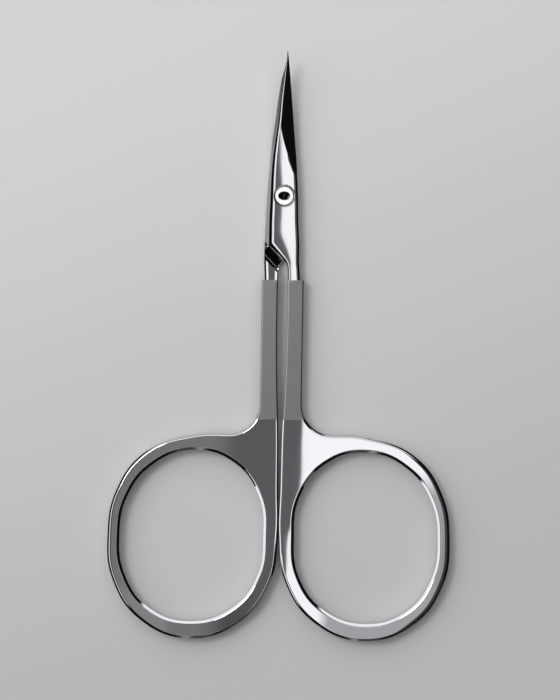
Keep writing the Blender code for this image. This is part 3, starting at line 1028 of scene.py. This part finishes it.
def remapped(tree, noise, low, high):
    """A value that follows the middle of a noise from low to high."""
    return add_node(tree, "ShaderNodeMapRange", {"Value": noise, "From Min": 0.3, "From Max": 0.7,
                                                 "To Min": low, "To Max": high}).outputs["Result"]


def ramp_between(tree, value, start, end):
    """0 at start and 1 at end, smooth between them. Start may be above end."""
    return add_node(tree, "ShaderNodeMapRange",
                    {"Value": value, "From Min": start, "From Max": end},
                    interpolation_type="SMOOTHSTEP").outputs["Result"]


def patch(tree, level, *limits):
    """A level inside soft limits, each of them a value with where it starts and is full."""
    for value, start, end in limits:
        level = calculate(tree, "MULTIPLY", level, ramp_between(tree, value, start, end))
    return level


def mixed(tree, share, first, second):
    """A colour between two others, each given or another node's output."""
    mix = add_node(tree, "ShaderNodeMix", {0: share, 6: first, 7: second}, data_type="RGBA")
    return mix.outputs[2]


def mottled(tree, share, colour, dark, light):
    """A colour that is darker and lighter by shares of itself."""
    return mixed(tree, share, (*(Vector(colour) * dark), 1), (*(Vector(colour) * light), 1))


def embossed(tree, height, strength, distance, normal=None):
    """The face's normal as a height makes it look, on top of another change to it."""
    inputs = {"Strength": strength, "Distance": distance, "Height": height}
    if normal is not None:
        inputs["Normal"] = normal
    return add_node(tree, "ShaderNodeBump", inputs).outputs["Normal"]


def paint_polished(tree, surface, finishes):
    """Mirror polish with faint buffing marks and the slight waves of a forging."""
    cloud = object_noise(tree, scale=160, detail=3)
    streaks = object_noise(tree, scale=900, detail=4, stretch=(1, 0.12, 1))
    waves = object_noise(tree, scale=110, detail=1)
    parts = split(tree, object_place(tree))
    lean = polish_lean
    for step, start, end in polish_lean_steps:
        lean = calculate(tree, "ADD", lean, patch(tree, step, (parts[1], start, end)))
    fade = calculate(tree, "MULTIPLY_ADD", ramp_between(tree, parts[1], *polish_fade), 0.5, 0.5)
    lean = calculate(tree, "MULTIPLY", lean, fade)
    normal = embossed(tree, calculate(tree, "MULTIPLY", lean, parts[0]), 1.0, 1.0)
    normal = embossed(tree, waves, 1.0, 0.003 * mm, normal)
    set_inputs(tree, surface, {
        "Metallic": 1.0,
        "Base Color": mottled(tree, cloud, finishes.polished, 0.96, 1.02),
        "Roughness": remapped(tree, streaks, finishes.gloss * 0.7, finishes.gloss * 1.5),
        "Normal": embossed(tree, streaks, 0.15, 0.0006 * mm, normal),
    })


def paint_ground(tree, surface, finishes):
    """Mating faces left as they come off the grinding wheel, with fine lines across the blade."""
    lines = object_noise(tree, scale=2600, detail=3, stretch=(0.15, 1, 1))
    set_inputs(tree, surface, {
        "Metallic": 1.0,
        "Base Color": mottled(tree, lines, finishes.ground, 0.92, 1.05),
        "Roughness": 0.30,
        "Normal": embossed(tree, lines, 0.3, 0.002 * mm),
    })


def paint_satin(tree, surface, finishes):
    """Bead-blasted steel: a fine even grain that spreads the light."""
    grain = object_noise(tree, scale=14000, detail=3)
    cloud = object_noise(tree, scale=260, detail=2)
    set_inputs(tree, surface, {
        "Metallic": 1.0,
        "Base Color": mottled(tree, cloud, finishes.satin, 0.95, 1.04),
        "Roughness": remapped(tree, grain, finishes.satin_grain * 0.85,
                              finishes.satin_grain * 1.15),
        "Normal": embossed(tree, grain, 0.35, 0.004 * mm),
    })


def paint_pivot(tree, surface, finishes, pivot):
    """Turned steel: fine rings round the pivot's axis, and painted shade in the front head's
    dimple.
    """
    side_lean = -0.006
    dimple_border = (1.02, 0.94)
    # Painted shade: inside the dimple the colour is this share of the steel's, near black
    painted_dimple_shade = 0.04
    place = object_place(tree)
    parts = split(tree, place)
    centred = add_node(tree, "ShaderNodeMapping", {
        "Vector": place, "Location": -pivot_place}).outputs["Vector"]
    rings = add_node(tree, "ShaderNodeTexWave", {"Vector": centred, "Scale": 4000,
                                                 "Distortion": 0.4},
                     wave_type="RINGS", rings_direction="Z").outputs["Fac"]
    oval = add_node(tree, "ShaderNodeMapping", {
        "Vector": centred,
        "Scale": (2 / pivot.dimple_width, 2 / pivot.dimple_length, 0)}).outputs["Vector"]
    from_middle = add_node(tree, "ShaderNodeVectorMath", {"Vector": oval},
                           operation="LENGTH").outputs["Value"]
    dimple = calculate(tree, "MULTIPLY", ramp_between(tree, from_middle, *dimple_border),
                       calculate(tree, "GREATER_THAN", parts[2], middle_plane))
    cloud = object_noise(tree, scale=600, detail=2)
    leant = embossed(tree, calculate(tree, "MULTIPLY", parts[0], side_lean), 1.0, 1.0)
    set_inputs(tree, surface, {
        "Metallic": 1.0,
        # Painted shade inside the front head's dimple makes the steel's colour near black
        "Base Color": mixed(tree, dimple, mottled(tree, cloud, finishes.pivot, 0.96, 1.03),
                            (*(Vector(finishes.pivot) * painted_dimple_shade), 1)),
        "Roughness": remapped(tree, cloud, finishes.gloss, finishes.gloss * 2.5),
        "Normal": embossed(tree, rings, 0.2, 0.0002 * mm, leant),
    })


def paint_table(tree, surface, stage):
    """Pale matt table with painted shade, darker towards the near right."""
    across_share = -0.35
    dark_end, pale_end = -0.6, 0.75
    across, along = split(tree, object_place(tree))[:2]
    # Painted shade: the table's colour darkens along this slant, towards the near right
    slant = calculate(tree, "ADD", calculate(tree, "MULTIPLY", across, across_share), along)
    share = ramp_between(tree, slant, overall_length * dark_end, overall_length * pale_end)
    set_inputs(tree, surface, {
        "Base Color": mottled(tree, share, stage.floor, 0.86, 1.16),
        "Roughness": 0.6,
        "Specular IOR Level": 0.2,
    })


# Stage
def build_studio():
    """The room round the table: white card overhead on the right, pale walls behind and left."""
    world = bpy.data.worlds.new("studio")
    bpy.context.scene.world = world
    world.use_nodes = True
    tree = world.node_tree
    tree.nodes.clear()
    across, along = split(tree, add_node(tree, "ShaderNodeTexCoord").outputs["Generated"])[:2]
    squares = [calculate(tree, "POWER", part, 2) for part in (across, along)]
    curve = calculate(tree, "DIVIDE", card_edge_curve,
                      calculate(tree, "MAXIMUM", across, card_curve_limit))
    from_edge = calculate(tree, "SUBTRACT", along, card_near_edge)
    measures = {
        "across": across,
        "along": along,
        "lean": calculate(tree, "SQRT", calculate(tree, "ADD", *squares)),
        "slant": calculate(tree, "SUBTRACT", across, along),
        "past_border": calculate(tree, "SUBTRACT", across, card_left_border),
        "past_near_edge": calculate(tree, "ADD", from_edge, curve),
    }
    light = studio_dark
    for level, *limits in studio_patches.values():
        limits = [(measures[name], start, end) for name, start, end in limits]
        light = calculate(tree, "MAXIMUM", light, patch(tree, level, *limits))
    background = add_node(tree, "ShaderNodeBackground", {"Strength": light,
                                                         "Color": studio_colour})
    output = add_node(tree, "ShaderNodeOutputWorld")
    tree.links.new(background.outputs[0], output.inputs[0])


def build_floor(stage):
    floor = add_primitive(bpy.ops.mesh.primitive_plane_add, size=6)
    floor.name = "table"
    floor.data.materials.append(painted("pale_table", paint_table, stage))


def add_lamp(name, place, size, power, glossy=True):
    """A round lamp that faces the tool."""
    lamp = bpy.data.lights.new(name, "AREA")
    lamp.shape = "DISK"
    lamp.size = size
    lamp.energy = power
    item = bpy.data.objects.new(name, lamp)
    bpy.context.scene.collection.objects.link(item)
    item.location = place
    item.rotation_euler = (-Vector(place)).to_track_quat("-Z", "Y").to_euler()
    item.visible_glossy = glossy


def build_camera(stage):
    camera = bpy.data.objects.new("camera", bpy.data.cameras.new("camera"))
    bpy.context.scene.collection.objects.link(camera)
    camera.location = (stage.view_across, stage.view_along, stage.camera_height)
    camera.rotation_euler = (0, 0, stage.camera_roll)
    reach = stage.camera_height - 2 * middle_plane
    camera.data.lens = camera.data.sensor_width * reach / stage.view_length
    camera.data.clip_start = stage.camera_height / 100
    bpy.context.scene.camera = camera


# Operators
class SCISSORS_OT_add_upper_half(bpy.types.Operator):
    """Adds the upper half: the right finger ring, its satin shank and the top blade"""
    bl_idname = "scissors.add_upper_half"
    bl_label = "Upper half"

    def execute(self, context):
        half = build_half("upper_forging", context.scene, upper_blade_shares, upper_heel_shares,
                          turned=False)
        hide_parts("upper_half")
        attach(half, "upper")
        return {"FINISHED"}


class SCISSORS_OT_add_lower_half(bpy.types.Operator):
    """Adds the lower half: the left finger ring, its satin shank and the blade below"""
    bl_idname = "scissors.add_lower_half"
    bl_label = "Lower half"

    def execute(self, context):
        half = build_half("lower_forging", context.scene, lower_blade_shares, lower_heel_shares,
                          turned=True)
        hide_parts("lower_half")
        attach(half, "lower")
        return {"FINISHED"}


class SCISSORS_OT_add_pivot(bpy.types.Operator):
    """Adds the pivot: the flush nut in front and the slotted screw behind"""
    bl_idname = "scissors.add_pivot"
    bl_label = "Pivot"

    def execute(self, context):
        for piece, node in ((build_nut(context.scene), "pivot_nut"),
                            (build_screw(context.scene), "pivot_screw")):
            shift(piece, *pivot_place)
            piece.data.materials.append(painted("bright_turned_steel", paint_pivot,
                                                context.scene.scissor_finishes,
                                                context.scene.scissor_pivot))
            smooth_shading(piece, angle=8)
            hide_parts(node)
            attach(piece, "lower")
        return {"FINISHED"}


class SCISSORS_OT_add_stage(bpy.types.Operator):
    """Adds the pale table, the soft studio light and the camera straight above"""
    bl_idname = "scissors.add_stage"
    bl_label = "Stage"

    def execute(self, context):
        stage = context.scene.scissor_stage
        build_floor(stage)
        build_studio()
        build_camera(stage)
        add_lamp("key", (-0.30, 0.20, 0.80), size=0.30, power=2.4)
        add_lamp("fill", (0.1, 0, 1.1), size=1.4, power=4.5, glossy=False)
        context.scene.view_settings.view_transform = "Standard"
        return {"FINISHED"}


class SCISSORS_PT_panel(bpy.types.Panel):
    bl_label = "Cuticle Scissors"
    bl_idname = "SCISSORS_PT_panel"
    bl_space_type = "VIEW_3D"
    bl_region_type = "UI"
    bl_category = "Scissors"

    def draw(self, context):
        layout = self.layout
        for operator in operators:
            layout.operator(operator.bl_idname)
        for name, group in property_groups.items():
            column = layout.column()
            settings = getattr(context.scene, name)
            for setting in group.__annotations__:
                column.prop(settings, setting)


operators = (
    SCISSORS_OT_add_upper_half,
    SCISSORS_OT_add_lower_half,
    SCISSORS_OT_add_pivot,
    SCISSORS_OT_add_stage,
)


def register():
    for group in property_groups.values():
        bpy.utils.register_class(group)
    for name, group in property_groups.items():
        setattr(bpy.types.Scene, name, bpy.props.PointerProperty(type=group))
    for operator in operators:
        bpy.utils.register_class(operator)
    bpy.utils.register_class(SCISSORS_PT_panel)


def unregister():
    bpy.utils.unregister_class(SCISSORS_PT_panel)
    for operator in reversed(operators):
        bpy.utils.unregister_class(operator)
    for name, group in property_groups.items():
        delattr(bpy.types.Scene, name)
        bpy.utils.unregister_class(group)


def main():
    register()
    bpy.ops.scissors.add_upper_half()
    bpy.ops.scissors.add_lower_half()
    bpy.ops.scissors.add_pivot()
    bpy.ops.scissors.add_stage()


if __name__ == "__main__":
    main()
